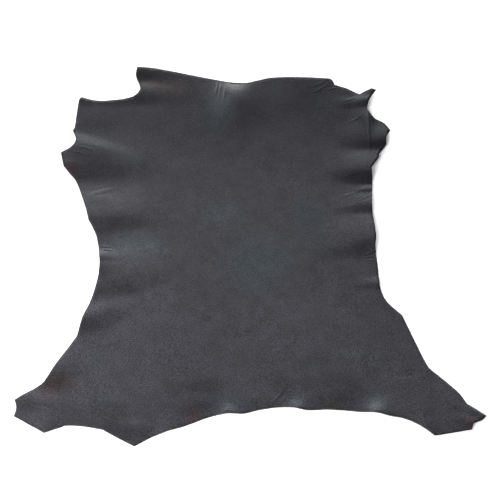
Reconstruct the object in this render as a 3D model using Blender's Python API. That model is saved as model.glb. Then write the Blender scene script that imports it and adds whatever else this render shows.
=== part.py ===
"""Leather hide: one whole skin, tanned and dyed, lying grain side up on a flat surface.

The skin is a single sheet. Its plan is the cut edge below, and its height above the surface
is the sum of the folds that the slack neck, legs, flanks and rump stand up in.
Lengths in the tables are millimetres: x runs across the skin, y from rump to neck, z up.
"""

import math
from collections import namedtuple

import bmesh
import bpy
import numpy as np
from mathutils import Vector
from mathutils.geometry import delaunay_2d_cdt

MM = 0.001

THICKNESS = 1.2
EDGE_STEP = 9.0  # between points along the cut edge
FOLD_PITCH = 14.0  # between points of the sheet where it is folded
FLAT_PITCH = 3 * FOLD_PITCH  # and where it lies flat
EDGE_CLEARANCE = 0.55 * FOLD_PITCH  # from the cut edge to the nearest inner point
FLAT_HEIGHT = 0.05  # a fold lower than this counts as flat
MERGE_DISTANCE = 1e-5

LEATHER_COLOUR = (0.060, 0.060, 0.068, 1.0)
LEATHER_ROUGHNESS = 0.5

CORNER = True
ROUND = False

Mark = namedtuple("Mark", "x y turn")

# The cut edge, clockwise from the left corner of the neck, seen from above.
NECK = (
    Mark(-257, 457, CORNER),
    Mark(-222, 455, ROUND),
    Mark(-170, 446, ROUND),
    Mark(-128, 437, ROUND),
    Mark(-62, 420, ROUND),
    Mark(-27, 415, ROUND),
    Mark(-5, 415, ROUND),
    Mark(17, 422, ROUND),
    Mark(46, 430, ROUND),
    Mark(115, 429, ROUND),
    Mark(181, 428, CORNER),
    Mark(188, 423, ROUND),
    Mark(192, 410, CORNER),
    Mark(218, 400, ROUND),
)
RIGHT_FORELEG = (
    Mark(247, 380, CORNER),
    Mark(275, 396, CORNER),
    Mark(285, 394, CORNER),
    Mark(267, 359, ROUND),
    Mark(261, 336, CORNER),
    Mark(276, 314, ROUND),
    Mark(297, 299, ROUND),
    Mark(309, 276, CORNER),
    Mark(299, 256, ROUND),
    Mark(298, 237, CORNER),
    Mark(281, 213, CORNER),
    Mark(279, 202, ROUND),
    Mark(261, 171, CORNER),
)
RIGHT_FLANK = (
    Mark(262, 144, ROUND),
    Mark(258, 102, ROUND),
    Mark(257, 63, ROUND),
    Mark(260, 6, ROUND),
    Mark(260, -8, CORNER),
    Mark(258, -23, ROUND),
    Mark(260, -74, ROUND),
    Mark(262, -122, ROUND),
    Mark(273, -152, ROUND),
)
RIGHT_HIND_LEG = (
    Mark(301, -183, CORNER),
    Mark(317, -229, ROUND),
    Mark(338, -286, ROUND),
    Mark(345, -299, ROUND),
    Mark(372, -325, ROUND),
    Mark(397, -352, ROUND),
    Mark(408, -373, CORNER),
    Mark(442, -398, CORNER),
    Mark(433, -406, ROUND),
    Mark(416, -413, CORNER),
    Mark(412, -424, CORNER),
    Mark(342, -436, CORNER),
)
RUMP = (
    Mark(311, -413, ROUND),
    Mark(287, -401, ROUND),
    Mark(253, -396, ROUND),
    Mark(221, -390, ROUND),
    Mark(150, -384, ROUND),
    Mark(104, -385, ROUND),
    Mark(67, -379, ROUND),
    Mark(23, -384, ROUND),
    Mark(-15, -393, ROUND),
    Mark(-64, -396, ROUND),
    Mark(-120, -417, ROUND),
    Mark(-176, -437, ROUND),
)
LEFT_HIND_LEG = (
    Mark(-212, -457, CORNER),
    Mark(-243, -441, ROUND),
    Mark(-273, -424, CORNER),
    Mark(-315, -417, ROUND),
    Mark(-343, -416, CORNER),
    Mark(-380, -433, CORNER),
    Mark(-409, -415, ROUND),
    Mark(-441, -397, CORNER),
    Mark(-438, -382, ROUND),
    Mark(-442, -365, CORNER),
    Mark(-403, -337, ROUND),
    Mark(-392, -327, ROUND),
    Mark(-369, -286, ROUND),
)
LEFT_FLANK = (
    Mark(-337, -228, CORNER),
    Mark(-329, -192, CORNER),
    Mark(-313, -141, ROUND),
    Mark(-306, -111, ROUND),
    Mark(-304, -79, ROUND),
    Mark(-307, -43, ROUND),
    Mark(-316, 1, ROUND),
    Mark(-324, 20, ROUND),
    Mark(-334, 36, CORNER),
    Mark(-344, 71, ROUND),
    Mark(-370, 141, ROUND),
)
LEFT_FORELEG = (
    Mark(-384, 158, ROUND),
    Mark(-399, 175, CORNER),
    Mark(-405, 198, ROUND),
    Mark(-408, 211, CORNER),
    Mark(-388, 226, ROUND),
    Mark(-379, 247, ROUND),
    Mark(-389, 279, CORNER),
    Mark(-386, 288, CORNER),
    Mark(-383, 364, ROUND),
    Mark(-378, 372, CORNER),
    Mark(-355, 365, ROUND),
    Mark(-328, 362, ROUND),
    Mark(-266, 372, ROUND),
    Mark(-248, 391, ROUND),
    Mark(-250, 410, ROUND),
    Mark(-259, 435, ROUND),
)
CUT_EDGE = (
    NECK
    + RIGHT_FORELEG
    + RIGHT_FLANK
    + RIGHT_HIND_LEG
    + RUMP
    + LEFT_HIND_LEG
    + LEFT_FLANK
    + LEFT_FORELEG
)

# A fold is highest at the cut edge and dies out at its inner end. Its widths are the reach of
# its slopes to the left and right of someone who walks its crest from the edge inwards.
Fold = namedtuple("Fold", "edge_x edge_y inner_x inner_y height left right")

LEFT_SIDE_FOLDS = (
    Fold(-410, 186, -180, 190, 11, 104, 50),
    Fold(-400, 250, -200, 178, 4, 34, 56),
    Fold(-345, 44, -150, 58, 11, 90, 36),
    Fold(-310, -113, -120, -47, 9, 95, 50),
    Fold(-312, -48, -248, -50, 3, 22, 14),
    Fold(-332, -194, -205, -145, 8, 46, 34),
    Fold(-376, -295, -285, -281, 5, 52, 36),
    Fold(-434, -359, -325, -377, 4, 26, 20),
)
RIGHT_SIDE_FOLDS = (
    Fold(262, 332, 251, 240, 5, 26, 42),
    Fold(306, 251, 165, 251, 7, 30, 60),
    Fold(264, 167, 140, 172, 10, 36, 84),
    Fold(266, 121, 205, 120, 3, 11, 18),
    Fold(264, 80, 148, 76, 7, 25, 58),
    Fold(266, -2, 132, -28, 11, 42, 98),
    Fold(266, -110, 196, -112, 3, 14, 20),
    Fold(430, -389, 355, -363, 4, 18, 26),
    Fold(420, -411, 362, -391, 4, 16, 20),
)
NECK_FOLDS = (
    Fold(-256, 390, -115, 392, 4, 44, 46),
    Fold(-268, 462, -110, 435, 8, 20, 46),
    Fold(272, 361, 172, 358, 3, 22, 22),
    Fold(112, 452, 104, 300, 5, 105, 90),
)
RUMP_FOLDS = (
    Fold(-380, -438, -366, -359, 6, 40, 30),
    Fold(-150, -431, -162, -365, 3, 26, 38),
    Fold(-38, -402, -33, -364, 7, 26, 32),
    Fold(88, -392, 86, -357, 6, 22, 26),
    Fold(238, -402, 243, -357, 9, 34, 38),
    Fold(328, -431, 304, -363, 4, 30, 22),
)
FOLDS = LEFT_SIDE_FOLDS + RIGHT_SIDE_FOLDS + NECK_FOLDS + RUMP_FOLDS

# A swell is a low mound, or a dip where its height is negative, that dies out all round.
Swell = namedtuple("Swell", "x y half_x half_y height")

SWELLS = (
    Swell(-36, 366, 96, 120, 6),
    Swell(-34, 440, 56, 60, -4),
    Swell(-217, -422, 48, 30, 5),
    Swell(-104, -371, 52, 30, 3),
    Swell(22, -364, 32, 24, 2),
    Swell(160, -359, 56, 32, 3),
)


def eased(share):
    """0 to 1 as share goes from 0 to 1, with no corner at either end."""
    share = np.clip(share, 0.0, 1.0)
    return share * share * (3.0 - 2.0 * share)


def mound(share):
    """1 at share 0, falling in half a cosine to 0 at share 1 and beyond."""
    return 0.5 + 0.5 * np.cos(math.pi * np.clip(share, 0.0, 1.0))


def fold_height(fold, x, y):
    across = fold.inner_x - fold.edge_x
    along = fold.inner_y - fold.edge_y
    length = math.hypot(across, along)
    across /= length
    along /= length
    walked = (x - fold.edge_x) * across + (y - fold.edge_y) * along
    aside = (y - fold.edge_y) * across - (x - fold.edge_x) * along
    reach = np.where(aside > 0.0, fold.left, fold.right)
    return fold.height * eased(1.0 - walked / length) * mound(np.abs(aside) / reach)


def swell_height(swell, x, y):
    out = np.hypot((x - swell.x) / swell.half_x, (y - swell.y) / swell.half_y)
    return swell.height * mound(out)


def height_at(x, y):
    """Height of the flesh side above the surface, in millimetres."""
    folds = sum(fold_height(fold, x, y) for fold in FOLDS)
    swells = sum(swell_height(swell, x, y) for swell in SWELLS)
    return folds + swells


def edge_tangents(marks):
    """The direction of the cut edge as it reaches and as it leaves each mark."""
    places = [Vector((mark.x, mark.y)) for mark in marks]
    tangents = []
    for i, mark in enumerate(marks):
        before = places[i] - places[i - 1]
        after = places[(i + 1) % len(places)] - places[i]
        if mark.turn == CORNER:
            tangents.append((before.normalized(), after.normalized()))
        else:
            passing = (before + after) / (before.length + after.length)
            tangents.append((passing, passing))
    return places, tangents


def cut_edge_points(marks, step):
    """Points about a step apart on the smooth curve through the marks, with its corners kept."""
    places, tangents = edge_tangents(marks)
    points = []
    for i, start in enumerate(places):
        end = places[(i + 1) % len(places)]
        length = (end - start).length
        leaving = tangents[i][1] * length
        arriving = tangents[(i + 1) % len(places)][0] * length
        pieces = max(1, round(length / step))
        for k in range(pieces):
            t = k / pieces
            points.append(
                start * (2 * t**3 - 3 * t**2 + 1)
                + leaving * (t**3 - 2 * t**2 + t)
                + end * (3 * t**2 - 2 * t**3)
                + arriving * (t**3 - t**2)
            )
    return np.array([(p.x, p.y) for p in points])


def inside_edge(edge, x, y, clearance):
    """Which of the points lie inside the cut edge and at least the clearance from it."""
    inside = np.zeros(len(x), bool)
    nearest = np.full(len(x), np.inf)
    for (ax, ay), (bx, by) in zip(edge, np.roll(edge, -1, axis=0)):
        crosses = (ay > y) != (by > y)
        rise = by - ay if by != ay else 1.0
        inside ^= crosses & (x < ax + (y - ay) * (bx - ax) / rise)
        length = (bx - ax) ** 2 + (by - ay) ** 2
        t = np.clip(((x - ax) * (bx - ax) + (y - ay) * (by - ay)) / length, 0.0, 1.0)
        gap = np.hypot(x - ax - t * (bx - ax), y - ay - t * (by - ay))
        nearest = np.minimum(nearest, gap)
    return inside & (nearest >= clearance)


def lattice(edge, pitch):
    """Points of a triangular lattice of this pitch over the box that the cut edge fills."""
    low = edge.min(axis=0)
    high = edge.max(axis=0)
    row_gap = pitch * math.sqrt(3.0) / 2.0
    points = []
    for row in range(int((high[1] - low[1]) / row_gap) + 1):
        shift = 0.5 * pitch * (row % 2)
        for column in range(int((high[0] - low[0]) / pitch) + 1):
            points.append((low[0] + column * pitch + shift, low[1] + row * row_gap))
    return np.array(points)


def is_folded(x, y):
    """Whether any fold or swell lifts the sheet within a pitch of each point."""
    around = [(0.0, 0.0)]
    around += [
        (FOLD_PITCH * math.cos(turn), FOLD_PITCH * math.sin(turn))
        for turn in np.linspace(0.0, 2.0 * math.pi, 6, endpoint=False)
    ]
    lifts = [height_at(x + dx, y + dy) for dx, dy in around]
    return np.max(lifts, axis=0) > FLAT_HEIGHT


def inner_points(edge):
    """Lattice points close together where the sheet is folded, and wide apart where it is flat."""
    fine = lattice(edge, FOLD_PITCH)
    fine = fine[inside_edge(edge, fine[:, 0], fine[:, 1], EDGE_CLEARANCE)]
    fine = fine[is_folded(fine[:, 0], fine[:, 1])]
    coarse = lattice(edge, FLAT_PITCH)
    coarse = coarse[inside_edge(edge, coarse[:, 0], coarse[:, 1], FOLD_PITCH)]
    coarse = coarse[~is_folded(coarse[:, 0], coarse[:, 1])]
    return np.concatenate([fine, coarse])


def flesh_side(name):
    """The underside of the skin as one triangulated surface, facing up, centred on the origin."""
    edge = cut_edge_points(CUT_EDGE, EDGE_STEP)
    centre = (edge.min(axis=0) + edge.max(axis=0)) / 2.0
    plan = [Vector(point) for point in np.concatenate([edge, inner_points(edge)])]
    border = list(range(len(edge)))
    inside_only = 1
    flat, _, faces, *_ = delaunay_2d_cdt(plan, [], [border], inside_only, MERGE_DISTANCE)
    x = np.array([point.x for point in flat])
    y = np.array([point.y for point in flat])
    z = height_at(x, y)
    sheet = bmesh.new()
    verts = [
        sheet.verts.new(((px - centre[0]) * MM, (py - centre[1]) * MM, pz * MM))
        for px, py, pz in zip(x, y, z)
    ]
    for corners in faces:
        sheet.faces.new([verts[corner] for corner in corners])
    sheet.normal_update()
    for face in sheet.faces:
        if face.normal.z < 0.0:
            face.normal_flip()
    mesh = bpy.data.meshes.new(name)
    sheet.to_mesh(mesh)
    sheet.free()
    return mesh


def leather_material():
    material = bpy.data.materials.new("dyed_leather")
    material.use_nodes = True
    shader = material.node_tree.nodes["Principled BSDF"]
    shader.inputs["Base Color"].default_value = LEATHER_COLOUR
    shader.inputs["Roughness"].default_value = LEATHER_ROUGHNESS
    shader.inputs["Metallic"].default_value = 0.0
    return material


def make_hide():
    """The skin, thickened upwards from its flesh side so that it lies on z = 0."""
    hide = bpy.data.objects.new("hide", flesh_side("hide"))
    bpy.context.scene.collection.objects.link(hide)
    hide.data.materials.append(leather_material())
    hide.data.shade_smooth()
    thickness = hide.modifiers.new("thickness", "SOLIDIFY")
    thickness.thickness = THICKNESS * MM
    thickness.offset = 1.0
    thickness.use_even_offset = True
    return hide


def main():
    for old in list(bpy.data.objects):
        bpy.data.objects.remove(old)
    make_hide()


main()
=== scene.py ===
"""Leather hide: one whole dyed skin, lying grain side up, in a pale studio.

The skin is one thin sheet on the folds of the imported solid, with the finer creases that the
solid leaves out. Lengths in the tables are millimetres: x runs across the skin, y from rump to
neck, z up. Everything that Blender gets is in metres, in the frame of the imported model.
"""

import math
from collections import namedtuple

import bpy
import numpy as np
from bpy.props import FloatProperty, FloatVectorProperty, PointerProperty
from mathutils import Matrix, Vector
from mathutils.geometry import delaunay_2d_cdt


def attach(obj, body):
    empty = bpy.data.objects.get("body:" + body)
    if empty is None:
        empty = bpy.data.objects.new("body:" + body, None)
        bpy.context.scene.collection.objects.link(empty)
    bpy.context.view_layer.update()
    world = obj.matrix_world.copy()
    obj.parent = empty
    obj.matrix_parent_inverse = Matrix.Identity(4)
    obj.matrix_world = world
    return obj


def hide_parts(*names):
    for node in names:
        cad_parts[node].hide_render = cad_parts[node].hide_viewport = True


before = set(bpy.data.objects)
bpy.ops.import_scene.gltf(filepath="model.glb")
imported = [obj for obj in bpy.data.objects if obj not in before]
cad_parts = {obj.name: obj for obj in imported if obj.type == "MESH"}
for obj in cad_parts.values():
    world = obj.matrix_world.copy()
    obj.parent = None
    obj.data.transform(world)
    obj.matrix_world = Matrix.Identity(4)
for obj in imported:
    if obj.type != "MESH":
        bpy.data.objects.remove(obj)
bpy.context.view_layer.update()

bl_info = {
    "name": "Leather Hide",
    "version": (1, 0, 0),
    "blender": (4, 5, 0),
    "location": "View3D > Sidebar > Hide",
    "description": "Makes a whole dyed leather skin, lying grain side up, and its studio",
    "category": "Add Mesh",
}

MM = 0.001
MERGE_DISTANCE = 1e-6

# The step of the plain edge line that the distance from the cut is measured to, in millimetres.
WEAR_LINE_STEP = 6.0

# How far past its ends, as a share of its length, and how far aside, in half widths, the
# sheet's fine points reach beyond a crease.
CREASE_END_MARGIN = 0.05
CREASE_SIDE_MARGIN = 1.6

# The heights of the pebbles between which the roughness and the film of finish change.
VALLEY_HEIGHT = 0.6
CROWN_HEIGHT = 2.0

# Layer Weight's Facing is 0 where the leather is seen face on and 1 where it is seen edge on.
# The gloss is full up to the first value and dulled from the second on. Nearly all that the
# photo's view shows lies below the first. Without this, the low window turns the skin almost
# white when it is seen from the front near the floor, as it might a real one.
FACING_FULL_GLOSS = 0.38
FACING_DULL_GLOSS = 0.56
DULLING = 0.55

# Painted shade: the near-black that the furrows between the pebbles are darkened towards.
FURROW_PAINTED_SHADE = (0.012, 0.012, 0.014, 1.0)

# The studio, in metres. The floor lies a hair below the skin, so that their faces stay apart.
FLOOR_HALF_WIDTH = 6.0
FLOOR_DROP = 0.0002
SKIN_MIDDLE = (0.0, 0.0, 0.0)
WINDOW_PLACE = (-1.2, 7.2, 2.1)
WINDOW_SIZE = (7.0, 2.2)
WINDOW_COLOUR = (0.94, 0.975, 1.0)
FILL_PLACE = (-0.7, -0.9, 1.1)
FILL_SIZE = (0.8, 0.8)
FILL_COLOUR = (1.0, 0.985, 0.985)

# The camera looks down at 58 degrees. Its lens and sensor are in millimetres.
CAMERA_TARGET = (0.0008, -0.0304, 0.0)
CAMERA_SETBACK = 1.1658
CAMERA_HEIGHT = 1.8657
FOCAL_LENGTH = 77.27
SENSOR_WIDTH = 36.0

CORNER = True
ROUND = False

Mark = namedtuple("Mark", "x y turn")

# The cut edge, clockwise from the left corner of the neck, seen from above.
NECK = (
    Mark(-257, 457, CORNER),
    Mark(-222, 455, ROUND),
    Mark(-170, 446, ROUND),
    Mark(-128, 437, ROUND),
    Mark(-62, 420, ROUND),
    Mark(-27, 415, ROUND),
    Mark(-5, 415, ROUND),
    Mark(17, 422, ROUND),
    Mark(46, 430, ROUND),
    Mark(115, 429, ROUND),
    Mark(181, 428, CORNER),
    Mark(188, 423, ROUND),
    Mark(192, 410, CORNER),
    Mark(218, 400, ROUND),
)
RIGHT_FORELEG = (
    Mark(247, 380, CORNER),
    Mark(275, 396, CORNER),
    Mark(285, 394, CORNER),
    Mark(267, 359, ROUND),
    Mark(261, 336, CORNER),
    Mark(276, 314, ROUND),
    Mark(297, 299, ROUND),
    Mark(309, 276, CORNER),
    Mark(299, 256, ROUND),
    Mark(298, 237, CORNER),
    Mark(281, 213, CORNER),
    Mark(279, 202, ROUND),
    Mark(261, 171, CORNER),
)
RIGHT_FLANK = (
    Mark(262, 144, ROUND),
    Mark(258, 102, ROUND),
    Mark(257, 63, ROUND),
    Mark(260, 6, ROUND),
    Mark(260, -8, CORNER),
    Mark(258, -23, ROUND),
    Mark(260, -74, ROUND),
    Mark(262, -122, ROUND),
    Mark(273, -152, ROUND),
)
RIGHT_HIND_LEG = (
    Mark(301, -183, CORNER),
    Mark(317, -229, ROUND),
    Mark(338, -286, ROUND),
    Mark(345, -299, ROUND),
    Mark(372, -325, ROUND),
    Mark(397, -352, ROUND),
    Mark(408, -373, CORNER),
    Mark(442, -398, CORNER),
    Mark(433, -406, ROUND),
    Mark(416, -413, CORNER),
    Mark(412, -424, CORNER),
    Mark(342, -436, CORNER),
)
RUMP = (
    Mark(311, -413, ROUND),
    Mark(287, -401, ROUND),
    Mark(253, -396, ROUND),
    Mark(221, -390, ROUND),
    Mark(150, -384, ROUND),
    Mark(104, -385, ROUND),
    Mark(67, -379, ROUND),
    Mark(23, -384, ROUND),
    Mark(-15, -393, ROUND),
    Mark(-64, -396, ROUND),
    Mark(-120, -417, ROUND),
    Mark(-176, -437, ROUND),
)
LEFT_HIND_LEG = (
    Mark(-212, -457, CORNER),
    Mark(-243, -441, ROUND),
    Mark(-273, -424, CORNER),
    Mark(-315, -417, ROUND),
    Mark(-343, -416, CORNER),
    Mark(-380, -433, CORNER),
    Mark(-409, -415, ROUND),
    Mark(-441, -397, CORNER),
    Mark(-438, -382, ROUND),
    Mark(-442, -365, CORNER),
    Mark(-403, -337, ROUND),
    Mark(-392, -327, ROUND),
    Mark(-369, -286, ROUND),
)
LEFT_FLANK = (
    Mark(-337, -228, CORNER),
    Mark(-329, -192, CORNER),
    Mark(-313, -141, ROUND),
    Mark(-306, -111, ROUND),
    Mark(-304, -79, ROUND),
    Mark(-307, -43, ROUND),
    Mark(-316, 1, ROUND),
    Mark(-324, 20, ROUND),
    Mark(-334, 36, CORNER),
    Mark(-344, 71, ROUND),
    Mark(-370, 141, ROUND),
)
LEFT_FORELEG = (
    Mark(-384, 158, ROUND),
    Mark(-399, 175, CORNER),
    Mark(-405, 198, ROUND),
    Mark(-408, 211, CORNER),
    Mark(-388, 226, ROUND),
    Mark(-379, 247, ROUND),
    Mark(-389, 279, CORNER),
    Mark(-386, 288, CORNER),
    Mark(-383, 364, ROUND),
    Mark(-378, 372, CORNER),
    Mark(-355, 365, ROUND),
    Mark(-328, 362, ROUND),
    Mark(-266, 372, ROUND),
    Mark(-248, 391, ROUND),
    Mark(-250, 410, ROUND),
    Mark(-259, 435, ROUND),
)
CUT_EDGE = (
    NECK
    + RIGHT_FORELEG
    + RIGHT_FLANK
    + RIGHT_HIND_LEG
    + RUMP
    + LEFT_HIND_LEG
    + LEFT_FLANK
    + LEFT_FORELEG
)

# A fold is highest at the cut edge and dies out at its inner end. Its widths are the reach of
# its slopes to the left and right of someone who walks its crest from the edge inwards.
Fold = namedtuple("Fold", "edge_x edge_y inner_x inner_y height left right")

LEFT_SIDE_FOLDS = (
    Fold(-410, 186, -180, 190, 11, 104, 50),
    Fold(-400, 250, -200, 178, 4, 34, 56),
    Fold(-345, 44, -150, 58, 11, 90, 36),
    Fold(-310, -113, -120, -47, 9, 95, 50),
    Fold(-312, -48, -248, -50, 3, 22, 14),
    Fold(-332, -194, -205, -145, 8, 46, 34),
    Fold(-376, -295, -285, -281, 5, 52, 36),
    Fold(-434, -359, -325, -377, 4, 26, 20),
)
RIGHT_SIDE_FOLDS = (
    Fold(262, 332, 251, 240, 5, 26, 42),
    Fold(306, 251, 165, 251, 7, 30, 60),
    Fold(264, 167, 140, 172, 10, 36, 84),
    Fold(266, 121, 205, 120, 3, 11, 18),
    Fold(264, 80, 148, 76, 7, 25, 58),
    Fold(266, -2, 132, -28, 11, 42, 98),
    Fold(266, -110, 196, -112, 3, 14, 20),
    Fold(430, -389, 355, -363, 4, 18, 26),
    Fold(420, -411, 362, -391, 4, 16, 20),
)
NECK_FOLDS = (
    Fold(-256, 390, -115, 392, 4, 44, 46),
    Fold(-268, 462, -110, 435, 8, 20, 46),
    Fold(272, 361, 172, 358, 3, 22, 22),
    Fold(112, 452, 104, 300, 5, 105, 90),
)
RUMP_FOLDS = (
    Fold(-380, -438, -366, -359, 6, 40, 30),
    Fold(-150, -431, -162, -365, 3, 26, 38),
    Fold(-38, -402, -33, -364, 7, 26, 32),
    Fold(88, -392, 86, -357, 6, 22, 26),
    Fold(238, -402, 243, -357, 9, 34, 38),
    Fold(328, -431, 304, -363, 4, 30, 22),
)
FOLDS = LEFT_SIDE_FOLDS + RIGHT_SIDE_FOLDS + NECK_FOLDS + RUMP_FOLDS

# A swell is a low mound, or a dip where its height is negative, that dies out all round.
Swell = namedtuple("Swell", "x y half_x half_y height")

SWELLS = (
    Swell(-36, 366, 96, 120, 6),
    Swell(-34, 440, 56, 60, -4),
    Swell(-217, -422, 48, 30, 5),
    Swell(-104, -371, 52, 30, 3),
    Swell(22, -364, 32, 24, 2),
    Swell(160, -359, 56, 32, 3),
)

# A crease runs from its start to its end and fades at both, as a ridge where its height is
# positive and as a trough where it is negative. Bow is how far its middle stands to the left.
Crease = namedtuple("Crease", "start_x start_y end_x end_y height half_width bow")

FLANK_CREASES = (
    Crease(-306, -30, -276, -34, 1.1, 3.0, 0),
    Crease(-307, -22, -284, -25, 0.8, 2.6, 0),
    Crease(263, 338, 260, 200, 1.0, 4.5, 0),
    Crease(-352, 100, -272, 127, 0.7, 9.0, 0),
    Crease(-392, 232, -330, 214, 0.4, 4.0, 2),
    Crease(-388, 216, -346, 204, 0.3, 3.4, 0),
    Crease(262, 132, 176, 96, 0.35, 5.0, 5),
    Crease(260, 110, 214, 80, 0.25, 3.6, 2),
    Crease(262, 90, 196, 66, 0.30, 4.2, -3),
    Crease(250, 160, 186, 146, 0.30, 4.4, -3),
    Crease(258, -30, 228, -46, 1.0, 3.2, 2),
    Crease(258, -45, 232, -50, 0.9, 3.0, 0),
    Crease(259, -58, 236, -56, 0.7, 2.8, -1),
)
NECK_CREASES = (
    Crease(187, 422, 132, 379, 0.5, 3.4, 3),
    Crease(178, 426, 140, 402, 0.4, 2.8, 2),
    Crease(198, 403, 175, 394, 0.5, 3.0, 0),
    Crease(247, 376, 206, 362, 0.6, 3.4, 2),
    Crease(251, 322, 214, 300, 0.4, 4.6, 2),
    Crease(-72, 420, -78, 372, 0.9, 3.4, 1),
    Crease(-64, 418, -66, 362, 1.0, 3.0, -2),
    Crease(-56, 417, -60, 348, 0.8, 3.2, 2),
    Crease(-49, 416, -50, 380, 0.7, 2.8, 0),
)
RUMP_CREASES = (
    Crease(40, -374, 70, -338, 1.1, 2.6, 0),
    Crease(52, -376, 78, -350, 0.6, 2.4, 0),
    Crease(66, -384, 72, -358, 0.6, 2.4, 1),
    Crease(-56, -392, -60, -362, 0.4, 2.6, 1),
    Crease(-24, -390, -20, -366, 0.4, 2.4, -1),
    Crease(187, -221, 228, -269, -1.2, 5.0, 0),
    Crease(193, -216, 236, -262, 0.5, 4.0, 0),
    Crease(221, -313, 346, -304, -1.0, 9.0, -4),
    Crease(-428, -368, -362, -386, -1.0, 7.0, 3),
)
CREASES = FLANK_CREASES + NECK_CREASES + RUMP_CREASES

# The slack of the skin where it lies flat: low waves, by wavelength, direction and phase.
Ripple = namedtuple("Ripple", "length turn phase height")

RIPPLES = (
    Ripple(173, 0.35, 0.4, 0.22),
    Ripple(121, 1.25, 2.1, 0.16),
    Ripple(83, 2.30, 4.0, 0.09),
    Ripple(57, 0.95, 1.3, 0.04),
)

# The waver of the knife along the cut. A length is that of one radian of its wave.
KnifeWave = namedtuple("KnifeWave", "length phase share")

KNIFE_WAVES = (
    KnifeWave(5.3, 0.0, 1.0),
    KnifeWave(2.9, 1.0, 0.7),
    KnifeWave(11.7, 0.0, 0.5),
)

# A patch softly lightens or darkens red, green and blue. Some rows are stains where the dye took
# differently; most are painted light and shade, marked below.
StainAndPaintedLight = namedtuple("StainAndPaintedLight", "x y half_x half_y red green blue")

STAINS_AND_PAINTED_LIGHT = (
    # Painted shade: the top of the skin, its right side and the right foreleg's flap darkened,
    # standing in for dimmer light there.
    StainAndPaintedLight(-20, 390, 900, 340, 0.43, 0.43, 0.46),
    StainAndPaintedLight(250, 300, 190, 240, 0.84, 0.84, 0.84),
    StainAndPaintedLight(290, 200, 160, 320, 0.64, 0.64, 0.67),
    StainAndPaintedLight(302, 272, 40, 50, 0.66, 0.66, 0.58),
    StainAndPaintedLight(288, 190, 30, 30, 0.50, 0.50, 0.50),
    # Painted highlight: a bright spot on the crest above the right foreleg.
    StainAndPaintedLight(257, 320, 12, 22, 1.90, 1.90, 2.00),
    # Painted shade: darkens the folds of the left flank, mostly over their lit slopes, toning down
    # their highlights.
    StainAndPaintedLight(-350, 250, 110, 90, 0.38, 0.38, 0.38),
    StainAndPaintedLight(-330, 84, 64, 20, 0.50, 0.50, 0.50),
    StainAndPaintedLight(-300, -82, 50, 32, 0.44, 0.44, 0.44),
    StainAndPaintedLight(-238, -128, 44, 22, 0.74, 0.74, 0.75),
    StainAndPaintedLight(-318, -207, 80, 26, 0.74, 0.74, 0.77),
    # Painted light and shade: patches of the flanks and rump lightened and darkened to follow how
    # the light falls, lighter towards the lower left and darker on the slopes and edge of the rump.
    StainAndPaintedLight(-220, -130, 130, 220, 1.16, 1.16, 1.16),
    StainAndPaintedLight(100, -190, 190, 110, 1.14, 1.14, 1.14),
    StainAndPaintedLight(165, -40, 60, 26, 0.82, 0.82, 0.82),
    StainAndPaintedLight(-72, -330, 44, 34, 0.82, 0.82, 0.82),
    StainAndPaintedLight(-110, -352, 80, 60, 0.70, 0.70, 0.70),
    StainAndPaintedLight(62, -330, 34, 36, 0.80, 0.80, 0.80),
    StainAndPaintedLight(170, -345, 96, 50, 0.68, 0.68, 0.69),
    StainAndPaintedLight(-290, -400, 160, 56, 0.72, 0.72, 0.72),
    StainAndPaintedLight(-420, -380, 50, 22, 0.80, 0.80, 0.80),
    StainAndPaintedLight(-320, -320, 200, 230, 1.10, 1.10, 1.10),
    StainAndPaintedLight(330, -330, 220, 200, 1.08, 1.08, 1.08),
    StainAndPaintedLight(40, -395, 420, 70, 0.86, 0.86, 0.87),
    StainAndPaintedLight(-235, -432, 60, 50, 0.66, 0.66, 0.68),
    # Greenish-blue tints that lighten the skin a little.
    StainAndPaintedLight(16, -60, 110, 110, 1.00, 1.22, 1.15),
    StainAndPaintedLight(-50, 56, 66, 50, 1.04, 1.20, 1.14),
    StainAndPaintedLight(120, 50, 50, 100, 0.93, 1.08, 1.04),
    StainAndPaintedLight(-230, -22, 96, 44, 1.15, 1.36, 1.30),
    # Painted highlight: the bright, bluish sheen at the middle of the neck.
    StainAndPaintedLight(-74, 330, 36, 95, 1.20, 1.45, 1.40),
    StainAndPaintedLight(-50, 345, 46, 74, 1.45, 1.60, 1.56),
    # Painted highlights: pale bluish spots on the lifted edge of the rump.
    StainAndPaintedLight(-44, -372, 60, 44, 0.98, 1.14, 1.10),
    StainAndPaintedLight(92, -362, 40, 34, 1.05, 1.20, 1.16),
    StainAndPaintedLight(238, -368, 56, 44, 1.10, 1.24, 1.20),
    # A pale greenish tint beside the creases on the right hip.
    StainAndPaintedLight(196, -268, 42, 32, 1.12, 1.24, 1.18),
    # Tan and brown tints at the neck's left corner; the first row also lightens the crest of the
    # fold there, a painted highlight.
    StainAndPaintedLight(-188, 402, 76, 40, 1.66, 1.34, 1.00),
    StainAndPaintedLight(-232, 411, 34, 14, 1.40, 1.12, 0.86),
    StainAndPaintedLight(-230, 452, 90, 20, 1.35, 1.30, 0.90),
    # Brown, pink, red and olive stains where the dye took differently.
    StainAndPaintedLight(-366, -330, 54, 36, 0.66, 0.55, 0.44),
    StainAndPaintedLight(-380, -354, 36, 18, 1.12, 0.94, 0.94),
    StainAndPaintedLight(-104, -398, 24, 30, 1.12, 0.84, 0.76),
    StainAndPaintedLight(36, -384, 20, 18, 1.10, 1.06, 0.78),
    StainAndPaintedLight(160, -380, 34, 20, 1.10, 1.06, 0.78),
    StainAndPaintedLight(412, -408, 20, 14, 1.30, 0.92, 0.90),
    StainAndPaintedLight(-380, 170, 26, 30, 1.22, 0.90, 0.90),
)

# A polish is a spot that is rubbed glossier than the rest.
Polish = namedtuple("Polish", "x y half_x half_y share")

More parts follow.
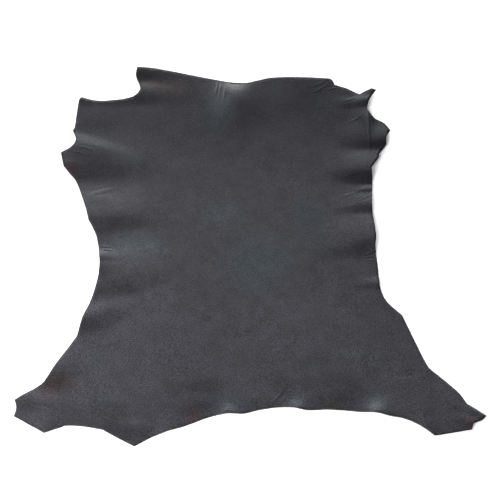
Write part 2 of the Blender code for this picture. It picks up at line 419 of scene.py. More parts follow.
POLISHES = (
    Polish(-34, 402, 46, 60, 0.8),
    Polish(-62, 372, 44, 100, 0.6),
    Polish(-38, -378, 50, 46, 0.3),
    Polish(90, -368, 34, 36, 0.8),
    Polish(240, -378, 46, 48, 0.75),
    Polish(262, 322, 14, 40, 0.9),
    Polish(-300, -28, 34, 24, 0.2),
)


def eased(share):
    """0 to 1 as share goes from 0 to 1, with no corner at either end."""
    share = np.clip(share, 0.0, 1.0)
    return share * share * (3.0 - 2.0 * share)


def mound(share):
    """1 at share 0, falling in half a cosine to 0 at share 1 and beyond."""
    return 0.5 + 0.5 * np.cos(math.pi * np.clip(share, 0.0, 1.0))


def along_and_aside(line_start, line_end, x, y):
    """How far each point lies along a line and to the left of it, and the line's length."""
    across, along = np.subtract(line_end, line_start)
    length = math.hypot(across, along)
    across /= length
    along /= length
    walked = (x - line_start[0]) * across + (y - line_start[1]) * along
    aside = (y - line_start[1]) * across - (x - line_start[0]) * along
    return walked, aside, length


def fold_height(fold, x, y):
    start, end = (fold.edge_x, fold.edge_y), (fold.inner_x, fold.inner_y)
    walked, aside, length = along_and_aside(start, end, x, y)
    reach = np.where(aside > 0.0, fold.left, fold.right)
    return fold.height * eased(1.0 - walked / length) * mound(np.abs(aside) / reach)


def swell_height(swell, x, y):
    out = np.hypot((x - swell.x) / swell.half_x, (y - swell.y) / swell.half_y)
    return swell.height * mound(out)


def crease_place(crease, x, y):
    """Share of the crease walked, and distance aside from its bowed line in half widths."""
    start, end = (crease.start_x, crease.start_y), (crease.end_x, crease.end_y)
    walked, aside, length = along_and_aside(start, end, x, y)
    share = walked / length
    bowed = aside - crease.bow * 4.0 * share * (1.0 - share)
    return share, np.abs(bowed) / crease.half_width


def crease_height(crease, x, y):
    share, out = crease_place(crease, x, y)
    fade = mound(np.abs(2.0 * share - 1.0) ** 1.5)
    return crease.height * fade * mound(out)


def ripple_height(ripple, x, y):
    walked = x * math.cos(ripple.turn) + y * math.sin(ripple.turn)
    turn = 2.0 * math.pi * walked / ripple.length + ripple.phase
    return ripple.height * (1.0 + np.sin(turn))


def height_at(x, y):
    """Height of the flesh side above the surface, in millimetres."""
    height = sum(fold_height(fold, x, y) for fold in FOLDS)
    height += sum(swell_height(swell, x, y) for swell in SWELLS)
    height += sum(ripple_height(ripple, x, y) for ripple in RIPPLES)
    height += sum(crease_height(crease, x, y) for crease in CREASES)
    return np.maximum(height, 0.0)


def edge_tangents(marks):
    """The direction of the cut edge as it reaches and as it leaves each mark."""
    places = [Vector((mark.x, mark.y)) for mark in marks]
    tangents = []
    for i, mark in enumerate(marks):
        before = places[i] - places[i - 1]
        after = places[(i + 1) % len(places)] - places[i]
        if mark.turn == CORNER:
            tangents.append((before.normalized(), after.normalized()))
        else:
            passing = (before + after) / (before.length + after.length)
            tangents.append((passing, passing))
    return places, tangents


def cut_edge_points(marks, step):
    """Points about a step apart on the smooth curve through the marks, with its corners kept."""
    places, tangents = edge_tangents(marks)
    points = []
    for i, start in enumerate(places):
        end = places[(i + 1) % len(places)]
        length = (end - start).length
        leaving = tangents[i][1] * length
        arriving = tangents[(i + 1) % len(places)][0] * length
        pieces = max(1, round(length / step))
        for k in range(pieces):
            t = k / pieces
            points.append(
                start * (2 * t**3 - 3 * t**2 + 1)
                + leaving * (t**3 - 2 * t**2 + t)
                + end * (3 * t**2 - 2 * t**3)
                + arriving * (t**3 - t**2)
            )
    return np.array([(p.x, p.y) for p in points])


def knife_wander(edge, depth):
    """The cut edge with the small waver of a hand that follows the skin with a knife."""
    before = np.roll(edge, 1, axis=0)
    after = np.roll(edge, -1, axis=0)
    along = after - before
    along /= np.linalg.norm(along, axis=1)[:, None]
    walked = np.cumsum(np.linalg.norm(edge - before, axis=1))
    waver = sum(
        wave.share * np.sin(walked / wave.length + wave.phase) for wave in KNIFE_WAVES
    )
    most = sum(wave.share for wave in KNIFE_WAVES)
    outward = np.stack([-along[:, 1], along[:, 0]], axis=1)
    return edge + outward * (depth * waver / most)[:, None]


def distance_inside(edge, x, y):
    """Distance of each point from the cut edge, negative outside it."""
    inside = np.zeros(len(x), bool)
    nearest = np.full(len(x), np.inf)
    for (ax, ay), (bx, by) in zip(edge, np.roll(edge, -1, axis=0)):
        crosses = (ay > y) != (by > y)
        rise = by - ay if by != ay else 1.0
        inside ^= crosses & (x < ax + (y - ay) * (bx - ax) / rise)
        length = (bx - ax) ** 2 + (by - ay) ** 2
        t = np.clip(((x - ax) * (bx - ax) + (y - ay) * (by - ay)) / length, 0.0, 1.0)
        gap = np.hypot(x - ax - t * (bx - ax), y - ay - t * (by - ay))
        nearest = np.minimum(nearest, gap)
    return np.where(inside, nearest, -nearest)


def lattice(edge, pitch):
    """Points of a triangular lattice of this pitch over the box that the cut edge fills."""
    low = edge.min(axis=0)
    high = edge.max(axis=0)
    row_gap = pitch * math.sqrt(3.0) / 2.0
    rows = int((high[1] - low[1]) / row_gap) + 1
    columns = int((high[0] - low[0]) / pitch) + 1
    row, column = np.mgrid[0:rows, 0:columns]
    x = low[0] + (column + 0.5 * (row % 2)) * pitch
    y = low[1] + row * row_gap
    return np.stack([x.ravel(), y.ravel()], axis=1)


def on_a_crease(x, y):
    """Whether each point lies on or beside one of the creases."""
    near = np.zeros(len(x), bool)
    for crease in CREASES:
        share, out = crease_place(crease, x, y)
        along = (share > -CREASE_END_MARGIN) & (share < 1.0 + CREASE_END_MARGIN)
        near |= along & (out < CREASE_SIDE_MARGIN)
    return near


def skin_plan(sizes):
    """The sheet seen from above: its points, its triangles and how many points lie on the edge."""
    pitch = sizes.pitch / MM
    fine_pitch = sizes.crease_pitch / MM
    smooth_edge = cut_edge_points(CUT_EDGE, 3.0 * pitch)
    edge = knife_wander(cut_edge_points(CUT_EDGE, sizes.edge_step / MM), sizes.waver / MM)
    centre = (edge.min(axis=0) + edge.max(axis=0)) / 2.0
    fine = lattice(edge, fine_pitch)
    fine = fine[on_a_crease(fine[:, 0], fine[:, 1])]
    fine = fine[distance_inside(edge, fine[:, 0], fine[:, 1]) > 0.6 * fine_pitch]
    coarse = lattice(edge, pitch)
    coarse = coarse[~on_a_crease(coarse[:, 0], coarse[:, 1])]
    coarse = coarse[distance_inside(smooth_edge, coarse[:, 0], coarse[:, 1]) > 0.6 * pitch]
    points = np.concatenate([edge, fine, coarse])
    border = list(range(len(edge)))
    inside_only = 1
    flat, _, faces, *_ = delaunay_2d_cdt(
        [Vector(point) for point in points], [], [border], inside_only, MERGE_DISTANCE
    )
    plan = np.array([(point.x, point.y) for point in flat])
    faces = np.array(faces)
    a, b, c = (plan[faces[:, i]] for i in range(3))
    turn = (b[:, 0] - a[:, 0]) * (c[:, 1] - a[:, 1]) - (b[:, 1] - a[:, 1]) * (c[:, 0] - a[:, 0])
    faces[turn < 0.0] = faces[turn < 0.0][:, ::-1]
    return plan, faces, len(edge), centre


def stain_and_painted_light_colours(x, y):
    """How much each patch lightens or darkens red, green and blue at each point: real dye patches,
    and painted light and shade.
    """
    colours = np.ones((len(x), 4))
    for stain_and_painted_light in STAINS_AND_PAINTED_LIGHT:
        out = np.hypot((x - stain_and_painted_light.x) / stain_and_painted_light.half_x, (y - stain_and_painted_light.y) / stain_and_painted_light.half_y)
        strength = mound(out)[:, None]
        colours[:, :3] *= 1.0 + strength * (np.array(stain_and_painted_light[4:]) - 1.0)
    return colours


def polish_at(x, y):
    """How much the skin is rubbed glossy at each point, from 0 to 1."""
    shares = np.zeros(len(x))
    for polish in POLISHES:
        out = np.hypot((x - polish.x) / polish.half_x, (y - polish.y) / polish.half_y)
        shares = np.maximum(shares, polish.share * mound(out))
    return shares


def skin_mesh(sizes):
    """A closed sheet: the flesh side, the grain side a thickness above it, and the cut edge."""
    plan, faces, rim, centre = skin_plan(sizes)
    x, y = plan[:, 0], plan[:, 1]
    flesh = np.stack([x - centre[0], y - centre[1], height_at(x, y)], axis=1) * MM
    grain = flesh + np.array([0.0, 0.0, sizes.thickness])
    count = len(plan)
    top = faces + count
    bottom = faces[:, ::-1]
    first = np.arange(rim)
    second = np.roll(first, -1)
    wall = np.stack([first, first + count, second + count, second], axis=1)
    mesh = bpy.data.meshes.new("skin")
    mesh.from_pydata(
        np.concatenate([flesh, grain]).tolist(),
        [],
        top.tolist() + bottom.tolist() + wall.tolist(),
    )
    slots = np.repeat([0, 1, 2], [len(top), len(bottom), len(wall)])
    mesh.polygons.foreach_set("material_index", slots)
    mesh.polygons.foreach_set("use_smooth", slots < 2)
    inward = distance_inside(cut_edge_points(CUT_EDGE, WEAR_LINE_STEP), x, y)
    edge_distance = mesh.attributes.new("edge_distance", "FLOAT", "POINT")
    edge_distance.data.foreach_set("value", np.tile(np.maximum(inward, 0.0) * MM, 2))
    polish = mesh.attributes.new("polish", "FLOAT", "POINT")
    polish.data.foreach_set("value", np.tile(polish_at(x, y), 2))
    # Real stains, and painted light and shade, stored as a colour on each point.
    stains_and_painted_light = mesh.attributes.new("stain_and_painted_light", "FLOAT_COLOR", "POINT")
    stains_and_painted_light.data.foreach_set("color", np.tile(stain_and_painted_light_colours(x, y), (2, 1)).ravel())
    mesh.update()
    if mesh.validate():
        raise RuntimeError("the skin's mesh has faults")
    return mesh


def add_node(tree, kind, inputs=None, **settings):
    """A node of this kind, with its settings, and its inputs as plain values or links."""
    node = tree.nodes.new(kind)
    for name, value in settings.items():
        setattr(node, name, value)
    for name, value in (inputs or {}).items():
        if isinstance(value, bpy.types.NodeSocket):
            tree.links.new(value, node.inputs[name])
        else:
            node.inputs[name].default_value = value
    return node


def new_group(name, inputs, outputs):
    """A shader node group and its two end nodes. Inputs map a name to its kind and default."""
    group = bpy.data.node_groups.new(name, "ShaderNodeTree")
    for label, (kind, default) in inputs.items():
        socket = group.interface.new_socket(label, in_out="INPUT", socket_type=kind)
        socket.default_value = default
    for label, kind in outputs.items():
        group.interface.new_socket(label, in_out="OUTPUT", socket_type=kind)
    start = group.nodes.new("NodeGroupInput")
    end = group.nodes.new("NodeGroupOutput")
    return group, start.outputs, end.inputs


def maths(tree, operation, first, second=0.0, clamp=False):
    node = add_node(
        tree, "ShaderNodeMath", {0: first, 1: second}, operation=operation, use_clamp=clamp
    )
    return node.outputs[0]


def ramped(tree, value, low, high, out_low=0.0, out_high=1.0):
    """value eased from its range low to high into the range out_low to out_high."""
    node = add_node(
        tree,
        "ShaderNodeMapRange",
        {"Value": value, 1: low, 2: high, 3: out_low, 4: out_high},
        interpolation_type="SMOOTHSTEP",
    )
    return node.outputs["Result"]


def mixed(tree, blend, share, first, second):
    node = add_node(
        tree, "ShaderNodeMix", {"Factor": share, "A": first, "B": second},
        data_type="RGBA", blend_type=blend,
    )
    return node.outputs["Result"]


def pebble_grain_group():
    """Pebbles of the tanned grain: a height, and a mask of the furrows between pebbles."""
    group, given, out = new_group(
        "pebble_grain",
        {
            "Pebble Size": ("NodeSocketFloat", 0.003),
            "Unevenness": ("NodeSocketFloat", 0.5),
        },
        {"Height": "NodeSocketFloat", "Furrows": "NodeSocketFloat"},
    )
    place = group.nodes.new("ShaderNodeTexCoord").outputs["Object"]
    per_metre = maths(group, "DIVIDE", 1.0, given["Pebble Size"])
    bend = add_node(group, "ShaderNodeTexNoise", {"Vector": place, "Scale": 260.0, "Detail": 2.0})
    bent = add_node(
        group,
        "ShaderNodeVectorMath",
        {0: bend.outputs["Color"], "Scale": 0.0016},
        operation="SCALE",
    )
    moved = add_node(
        group, "ShaderNodeVectorMath", {0: place, 1: bent.outputs[0]}, operation="ADD"
    )
    pebbles = add_node(
        group,
        "ShaderNodeTexVoronoi",
        {"Vector": moved.outputs[0], "Scale": per_metre, "Randomness": 0.95},
        feature="DISTANCE_TO_EDGE",
    )
    small = add_node(
        group,
        "ShaderNodeTexVoronoi",
        {"Vector": moved.outputs[0], "Scale": maths(group, "MULTIPLY", per_metre, 2.3)},
        feature="DISTANCE_TO_EDGE",
    )
    clusters = add_node(
        group,
        "ShaderNodeTexNoise",
        {"Vector": place, "Scale": maths(group, "MULTIPLY", per_metre, 0.42), "Detail": 3.0},
    )
    crown = ramped(group, pebbles.outputs["Distance"], 0.0, 0.32)
    small_crown = ramped(group, small.outputs["Distance"], 0.0, 0.30)
    uneven = maths(group, "MULTIPLY", clusters.outputs["Fac"], given["Unevenness"])
    uneven = maths(group, "MULTIPLY", uneven, 2.0)
    height = maths(group, "MULTIPLY_ADD", small_crown, 0.35)
    group.links.new(crown, height.node.inputs[2])
    group.links.new(maths(group, "ADD", height, uneven), out["Height"])
    furrow = maths(group, "SUBTRACT", 1.0, ramped(group, pebbles.outputs["Distance"], 0.0, 0.16))
    group.links.new(maths(group, "MULTIPLY", furrow, clusters.outputs["Fac"]), out["Furrows"])
    return group


def dye_and_painted_light_group():
    """The dye: its colour drifts between a warmer and a cooler grey, with mottling, pore specks and
    the patches of the table, which hold real dye patches and painted light and shade.
    """
    group, given, out = new_group(
        "uneven_dye_and_painted_light",
        {
            "Warm Dye": ("NodeSocketColor", (0.05, 0.05, 0.05, 1.0)),
            "Cool Dye": ("NodeSocketColor", (0.05, 0.05, 0.05, 1.0)),
            "Mottling": ("NodeSocketFloat", 0.2),
        },
        {"Colour": "NodeSocketColor", "Specks": "NodeSocketFloat"},
    )
    place = group.nodes.new("ShaderNodeTexCoord").outputs["Object"]
    drift = add_node(
        group, "ShaderNodeTexNoise",
        {"Vector": place, "Scale": 9.0, "Detail": 3.0, "Roughness": 0.55},
    )
    cloud = add_node(
        group, "ShaderNodeTexNoise",
        {"Vector": place, "Scale": 34.0, "Detail": 5.0, "Roughness": 0.6},
    )
    hue = ramped(group, drift.outputs["Fac"], 0.58, 0.78)
    colour = mixed(group, "MIX", hue, given["Warm Dye"], given["Cool Dye"])
    shade = maths(group, "SUBTRACT", cloud.outputs["Fac"], 0.5)
    shade = maths(group, "MULTIPLY", shade, given["Mottling"])
    shade = maths(group, "ADD", maths(group, "MULTIPLY", shade, 2.0), 1.0)
    pores = add_node(
        group, "ShaderNodeTexNoise",
        {"Vector": place, "Scale": 500.0, "Detail": 1.0, "Roughness": 0.5},
    )
    # Painted sheen, in part: the pore specks are the grain's own, but they grow stronger from the
    # neck towards the rump, standing in for the sheen that brings the grain out there.
    along = add_node(group, "ShaderNodeSeparateXYZ", {"Vector": place}).outputs["Y"]
    reach = ramped(group, along, -0.30, 0.05, 0.34, 0.21)
    speck = ramped(group, pores.outputs["Fac"], 0.37, 0.61, -1.0, 1.0)
    group.links.new(speck, out["Specks"])
    speck = maths(group, "ADD", maths(group, "MULTIPLY", speck, reach), 1.0)
    shade = maths(group, "MULTIPLY", shade, speck)
    grey = add_node(group, "ShaderNodeCombineColor", {0: shade, 1: shade, 2: shade})
    colour = mixed(group, "MULTIPLY", 1.0, colour, grey.outputs["Color"])
    # Multiplies in the stain attribute: real stains, and painted light and shade.
    stain_and_painted_light = add_node(group, "ShaderNodeAttribute", attribute_name="stain_and_painted_light")
    colour = mixed(group, "MULTIPLY", 1.0, colour, stain_and_painted_light.outputs["Color"])
    group.links.new(colour, out["Colour"])
    return group


def edge_wear_group():
    """A mask of the rubbed leather beside the cut edge."""
    group, given, out = new_group(
        "edge_wear",
        {"Reach": ("NodeSocketFloat", 0.004)},
        {"Wear": "NodeSocketFloat"},
    )
    place = group.nodes.new("ShaderNodeTexCoord").outputs["Object"]
    inward = add_node(group, "ShaderNodeAttribute", attribute_name="edge_distance")
    patches = add_node(group, "ShaderNodeTexNoise", {"Vector": place, "Scale": 70.0, "Detail": 4.0})
    share = maths(group, "DIVIDE", inward.outputs["Fac"], given["Reach"])
    near = ramped(group, share, 0.0, 1.0, 1.0, 0.0)
    patchy = ramped(group, patches.outputs["Fac"], 0.40, 0.62)
    group.links.new(maths(group, "MULTIPLY", near, patchy), out["Wear"])
    return group


def suede_group():
    """The nap of split fibres: a height, and a mask of the paler fibre tips."""
    group, given, out = new_group(
        "suede_nap",
        {"Fibre Size": ("NodeSocketFloat", 0.0009)},
        {"Height": "NodeSocketFloat", "Tips": "NodeSocketFloat"},
    )
    place = group.nodes.new("ShaderNodeTexCoord").outputs["Object"]
    per_metre = maths(group, "DIVIDE", 1.0, given["Fibre Size"])
    fibres = add_node(
        group, "ShaderNodeTexNoise",
        {"Vector": place, "Scale": per_metre, "Detail": 5.0, "Roughness": 0.7},
    )
    brushed = add_node(
        group, "ShaderNodeTexNoise",
        {"Vector": place, "Scale": maths(group, "MULTIPLY", per_metre, 0.03), "Detail": 3.0},
    )
    group.links.new(fibres.outputs["Fac"], out["Height"])
    tips = maths(
        group,
        "MULTIPLY",
        ramped(group, fibres.outputs["Fac"], 0.48, 0.72),
        ramped(group, brushed.outputs["Fac"], 0.35, 0.65, 0.4, 1.0),
    )
    group.links.new(tips, out["Tips"])
    return group


def placed(tree, group, inputs):
    return add_node(tree, "ShaderNodeGroup", inputs, node_tree=group).outputs


def grain_side_material(look, groups):
    """Dyed grain side: pebbled, satin, with painted shade in the furrows and rubbed paler at the
    edge.

    Where it is seen nearly edge on, it is rougher and its film of finish is gone.
    """
    material = bpy.data.materials.new("grain_side")
    material.use_nodes = True
    tree = material.node_tree
    shader = tree.nodes["Principled BSDF"]
    # The dye group's colour carries the stain attribute's painted light and shade as well as the
    # real dye.
    dye = placed(
        tree,
        groups["dye"],
        {
            "Warm Dye": (*look.warm_dye, 1.0),
            "Cool Dye": (*look.cool_dye, 1.0),
            "Mottling": look.mottling,
        },
    )
    grain = placed(tree, groups["grain"], {"Pebble Size": look.pebble_size, "Unevenness": 0.6})
    wear = placed(tree, groups["wear"], {"Reach": look.wear_reach})
    # Painted shade: the furrows between the pebbles darkened towards near-black.
    furrow_share = maths(tree, "MULTIPLY", grain["Furrows"], look.furrow_painted_shade)
    colour = mixed(tree, "MIX", furrow_share, dye["Colour"], FURROW_PAINTED_SHADE)
    worn = maths(tree, "MULTIPLY", wear["Wear"], 0.30)
    colour = mixed(tree, "MIX", worn, colour, (*look.worn_colour, 1.0))
    tree.links.new(colour, shader.inputs["Base Color"])
    polish = add_node(tree, "ShaderNodeAttribute", attribute_name="polish")
    crowns = ramped(tree, grain["Height"], VALLEY_HEIGHT, CROWN_HEIGHT, 0.4, 1.6)
    film = maths(tree, "MULTIPLY", polish.outputs["Fac"], look.polish)
    facing = add_node(tree, "ShaderNodeLayerWeight", {"Blend": 0.5}).outputs["Facing"]
    grazing = ramped(tree, facing, FACING_FULL_GLOSS, FACING_DULL_GLOSS)
    film = maths(tree, "MULTIPLY", film, maths(tree, "SUBTRACT", 1.0, grazing))
    tree.links.new(maths(tree, "MULTIPLY", film, crowns), shader.inputs["Coat Weight"])
    shader.inputs["Coat Roughness"].default_value = look.polish_roughness
    shader.inputs["Specular IOR Level"].default_value = look.gloss
    rough = ramped(
        tree, grain["Height"], VALLEY_HEIGHT, CROWN_HEIGHT,
        look.roughness + 0.06, look.roughness - 0.04,
    )
    specks = maths(tree, "MULTIPLY", dye["Specks"], look.speckle)
    rough = maths(tree, "ADD", rough, specks)
    dulled = maths(tree, "MULTIPLY", grazing, DULLING)
    tree.links.new(maths(tree, "ADD", rough, dulled, clamp=True), shader.inputs["Roughness"])
    bump = add_node(
        tree,
        "ShaderNodeBump",
        {"Strength": 1.0, "Distance": look.pebble_depth, "Height": grain["Height"]},
    )
    tree.links.new(bump.outputs["Normal"], shader.inputs["Normal"])
    return material


def flesh_side_material(look, groups):
    """Suede flesh side: dull, napped and a little paler than the grain side."""
    material = bpy.data.materials.new("flesh_side")
    material.use_nodes = True
    tree = material.node_tree
    shader = tree.nodes["Principled BSDF"]
    # The flesh side takes the same patches, painted light and shade among them.
    dye = placed(
        tree,
        groups["dye"],
        {
            "Warm Dye": (*look.flesh_colour, 1.0),
            "Cool Dye": (*look.flesh_colour, 1.0),
            "Mottling": 1.5 * look.mottling,
        },
    )
    nap = placed(tree, groups["suede"], {"Fibre Size": look.fibre_size})
    tips = maths(tree, "MULTIPLY", nap["Tips"], 0.5)
    colour = mixed(tree, "MIX", tips, dye["Colour"], (*look.worn_colour, 1.0))
    tree.links.new(colour, shader.inputs["Base Color"])
    shader.inputs["Roughness"].default_value = 0.95
    shader.inputs["Sheen Weight"].default_value = 0.25
    shader.inputs["Sheen Roughness"].default_value = 0.6
    bump = add_node(
        tree, "ShaderNodeBump", {"Strength": 0.8, "Distance": 0.0004, "Height": nap["Height"]}
    )
    tree.links.new(bump.outputs["Normal"], shader.inputs["Normal"])
    return material


def cut_edge_material(look, groups):
    """Cut edge: bare fibre that took the dye, paler where it is rubbed."""
    material = bpy.data.materials.new("cut_edge")
    material.use_nodes = True
    tree = material.node_tree
    shader = tree.nodes["Principled BSDF"]
    nap = placed(tree, groups["suede"], {"Fibre Size": 0.5 * look.fibre_size})
    wear = placed(tree, groups["wear"], {"Reach": look.wear_reach})
    colour = mixed(tree, "MIX", nap["Tips"], (*look.flesh_colour, 1.0), (*look.worn_colour, 1.0))
    colour = mixed(
        tree, "MIX", maths(tree, "MULTIPLY", wear["Wear"], 0.5), colour, (*look.worn_colour, 1.0)
    )
    tree.links.new(colour, shader.inputs["Base Color"])
    shader.inputs["Roughness"].default_value = 0.85
    bump = add_node(
        tree, "ShaderNodeBump", {"Strength": 0.7, "Distance": 0.0002, "Height": nap["Height"]}
    )
    tree.links.new(bump.outputs["Normal"], shader.inputs["Normal"])
    return material


class SkinSizes(bpy.types.PropertyGroup):
    """Sizes of the skin."""

    thickness: FloatProperty(
        name="Thickness", description="Thickness of the leather",
        default=0.0012, min=0.0005, max=0.003, precision=4, subtype="DISTANCE",
    )
    pitch: FloatProperty(
        name="Pitch", description="Distance between the points of the sheet",
        default=0.005, min=0.003, max=0.02, precision=4, subtype="DISTANCE",
    )
    crease_pitch: FloatProperty(
        name="Crease Pitch", description="Distance between the points on a crease",
        default=0.0018, min=0.001, max=0.01, precision=4, subtype="DISTANCE",
    )
    edge_step: FloatProperty(
        name="Edge Step", description="Distance between the points along the cut edge",
        default=0.003, min=0.001, max=0.02, precision=4, subtype="DISTANCE",
    )
    waver: FloatProperty(
        name="Knife Waver", description="How far the cut wanders from its line",
        default=0.00016, min=0.0, max=0.002, precision=5, subtype="DISTANCE",
    )


class LeatherLook(bpy.types.PropertyGroup):
    """Colours and finish of the leather."""

    warm_dye: FloatVectorProperty(
        name="Warm Dye", description="Dye where it took warmest",
        default=(0.0377, 0.0366, 0.0423), min=0.0, max=1.0, size=3, subtype="COLOR",
    )
    cool_dye: FloatVectorProperty(
        name="Cool Dye", description="Dye where it took coolest",
        default=(0.0332, 0.0379, 0.0410), min=0.0, max=1.0, size=3, subtype="COLOR",
    )
    flesh_colour: FloatVectorProperty(
        name="Flesh Side", description="Suede of the flesh side",
        default=(0.075, 0.073, 0.077), min=0.0, max=1.0, size=3, subtype="COLOR",
    )
    worn_colour: FloatVectorProperty(
        name="Worn Leather", description="Rubbed fibre at the cut edge",
        default=(0.14, 0.135, 0.135), min=0.0, max=1.0, size=3, subtype="COLOR",
    )
    mottling: FloatProperty(
        name="Mottling", description="How unevenly the dye took",
        default=0.35, min=0.0, max=1.0, subtype="FACTOR",
    )
    roughness: FloatProperty(
        name="Roughness", description="Roughness of the grain side",
        default=0.42, min=0.1, max=0.9, subtype="FACTOR",
    )
    speckle: FloatProperty(
        name="Speckle", description="How much the roughness changes from pore to pore",
        default=0.050, min=0.0, max=0.2, subtype="FACTOR",
    )
    gloss: FloatProperty(
        name="Gloss", description="Gloss of the grain side",
        default=0.045, min=0.0, max=1.0, subtype="FACTOR",
    )
    polish: FloatProperty(
        name="Polish", description="Strength of the film of finish where it is rubbed glossy",
        default=0.34, min=0.0, max=1.0, subtype="FACTOR",
    )
    polish_roughness: FloatProperty(
        name="Polish Roughness", description="Roughness of the film of finish",
        default=0.45, min=0.1, max=0.9, subtype="FACTOR",
    )
    # How strongly painted shade darkens the furrows.
    furrow_painted_shade: FloatProperty(
        name="Furrow Shade", description="How much darker the furrows are",
        default=0.7, min=0.0, max=1.0, subtype="FACTOR",
    )
    pebble_size: FloatProperty(
        name="Pebble Size", description="Width of one pebble of the grain",
        default=0.0040, min=0.0005, max=0.01, precision=4, subtype="DISTANCE",
    )
    pebble_depth: FloatProperty(
        name="Pebble Depth", description="Height of one pebble of the grain",
        default=0.00016, min=0.0, max=0.001, precision=5, subtype="DISTANCE",
    )
    fibre_size: FloatProperty(
        name="Fibre Size", description="Width of a tuft of the suede's nap",
        default=0.0009, min=0.0002, max=0.005, precision=4, subtype="DISTANCE",
    )
    wear_reach: FloatProperty(
        name="Wear Reach", description="How far the rubbed edge reaches inwards",
        default=0.004, min=0.0, max=0.02, precision=4, subtype="DISTANCE",
    )


class StudioLook(bpy.types.PropertyGroup):
    """Floor and lights."""

    floor_colour: FloatVectorProperty(
        name="Floor", description="Colour of the floor",
        default=(0.95, 0.95, 0.95), min=0.0, max=1.0, size=3, subtype="COLOR",
    )
    floor_glow: FloatProperty(
        name="Floor Glow", description="Light that comes up through the pale floor",
        default=0.25, min=0.0, max=2.0,
    )
    window_power: FloatProperty(
        name="Window", description="Power of the large low light behind the skin",
        default=1600.0, min=0.0, unit="POWER",
    )
    fill_power: FloatProperty(
        name="Fill", description="Power of the soft light beside the left hind leg",
        default=30.0, min=0.0, unit="POWER",
    )
    sky_strength: FloatProperty(
        name="Sky", description="Brightness of the air all round",
        default=0.12, min=0.0, max=5.0,
    )


class HIDE_OT_skin(bpy.types.Operator):
    """Makes the skin, with its folds, creases, grain side, flesh side and cut edge"""

    bl_idname = "hide.skin"
    bl_label = "Skin"

    def execute(self, context):
        sizes = context.scene.hide_sizes
        look = context.scene.hide_look
        skin = bpy.data.objects.new("skin", skin_mesh(sizes))
        context.scene.collection.objects.link(skin)
        groups = {
            "grain": pebble_grain_group(),
            "dye": dye_and_painted_light_group(),
            "wear": edge_wear_group(),
            "suede": suede_group(),
        }
        skin.data.materials.append(grain_side_material(look, groups))
        skin.data.materials.append(flesh_side_material(look, groups))
        skin.data.materials.append(cut_edge_material(look, groups))
        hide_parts("hide")
        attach(skin, "root")
        return {"FINISHED"}


def aimed(thing, place, target):
    """Puts a light or the camera at its place, looking at the target."""
    thing.location = place
    thing.rotation_euler = (Vector(target) - Vector(place)).to_track_quat("-Z", "Y").to_euler()


def soft_light(context, name, place, size, power, colour):
    """A flat, soft light that looks at the middle of the skin."""
    lamp = bpy.data.lights.new(name, "AREA")
    lamp.shape = "RECTANGLE"
    lamp.size, lamp.size_y = size
    lamp.energy = power
    lamp.color = colour
    light = bpy.data.objects.new(name, lamp)
    context.scene.collection.objects.link(light)
    aimed(light, place, SKIN_MIDDLE)


def floor_material(studio):
    material = bpy.data.materials.new("floor_paint")
    material.use_nodes = True
    shader = material.node_tree.nodes["Principled BSDF"]
    shader.inputs["Base Color"].default_value = (*studio.floor_colour, 1.0)
    shader.inputs["Roughness"].default_value = 0.9
    shader.inputs["Specular IOR Level"].default_value = 0.1
    shader.inputs["Emission Color"].default_value = (1.0, 1.0, 1.0, 1.0)
    shader.inputs["Emission Strength"].default_value = studio.floor_glow
    return material


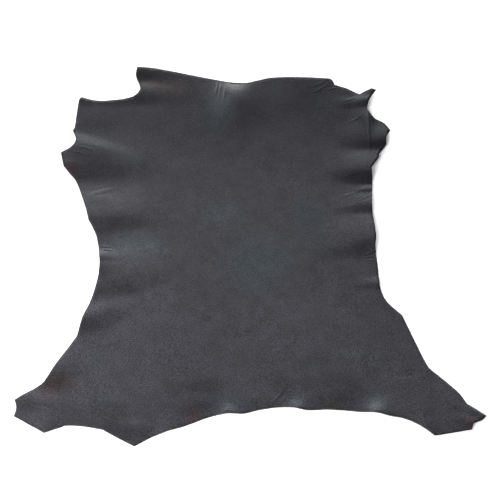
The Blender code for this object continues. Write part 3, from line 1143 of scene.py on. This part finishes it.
class HIDE_OT_stage(bpy.types.Operator):
    """Makes the floor, the lights and the camera"""

    bl_idname = "hide.stage"
    bl_label = "Stage"

    def execute(self, context):
        studio = context.scene.hide_studio
        floor_mesh = bpy.data.meshes.new("floor")
        half = FLOOR_HALF_WIDTH
        floor_mesh.from_pydata(
            [(-half, -half, 0.0), (half, -half, 0.0), (half, half, 0.0), (-half, half, 0.0)],
            [],
            [(0, 1, 2, 3)],
        )
        floor = bpy.data.objects.new("floor", floor_mesh)
        context.scene.collection.objects.link(floor)
        floor.location.z = -FLOOR_DROP
        floor.data.materials.append(floor_material(studio))

        soft_light(
            context, "window", WINDOW_PLACE, WINDOW_SIZE, studio.window_power, WINDOW_COLOUR
        )
        soft_light(context, "fill", FILL_PLACE, FILL_SIZE, studio.fill_power, FILL_COLOUR)
        world = bpy.data.worlds.new("air")
        world.use_nodes = True
        sky = world.node_tree.nodes["Background"]
        sky.inputs["Color"].default_value = (1.0, 1.0, 1.0, 1.0)
        sky.inputs["Strength"].default_value = studio.sky_strength
        context.scene.world = world
        context.scene.view_settings.view_transform = "Standard"

        lens = bpy.data.cameras.new("camera")
        lens.lens = FOCAL_LENGTH
        lens.sensor_width = SENSOR_WIDTH
        camera = bpy.data.objects.new("camera", lens)
        context.scene.collection.objects.link(camera)
        x, y, _ = CAMERA_TARGET
        aimed(camera, (x, y - CAMERA_SETBACK, CAMERA_HEIGHT), CAMERA_TARGET)
        context.scene.camera = camera
        return {"FINISHED"}


class HIDE_PT_panel(bpy.types.Panel):
    """Sizes, colours and buttons of the hide"""

    bl_label = "Leather Hide"
    bl_idname = "HIDE_PT_panel"
    bl_space_type = "VIEW_3D"
    bl_region_type = "UI"
    bl_category = "Hide"

    def draw(self, context):
        for title, group in (
            ("Sizes", context.scene.hide_sizes),
            ("Leather", context.scene.hide_look),
            ("Studio", context.scene.hide_studio),
        ):
            box = self.layout.box()
            box.label(text=title)
            for name in group.__annotations__:
                box.prop(group, name)
        self.layout.operator(HIDE_OT_skin.bl_idname)
        self.layout.operator(HIDE_OT_stage.bl_idname)


CLASSES = (SkinSizes, LeatherLook, StudioLook, HIDE_OT_skin, HIDE_OT_stage, HIDE_PT_panel)


def register():
    for made in CLASSES:
        bpy.utils.register_class(made)
    bpy.types.Scene.hide_sizes = PointerProperty(type=SkinSizes)
    bpy.types.Scene.hide_look = PointerProperty(type=LeatherLook)
    bpy.types.Scene.hide_studio = PointerProperty(type=StudioLook)


def unregister():
    del bpy.types.Scene.hide_studio
    del bpy.types.Scene.hide_look
    del bpy.types.Scene.hide_sizes
    for made in reversed(CLASSES):
        bpy.utils.unregister_class(made)


def main():
    register()
    bpy.ops.hide.stage()
    bpy.ops.hide.skin()


if __name__ == "__main__":
    main()
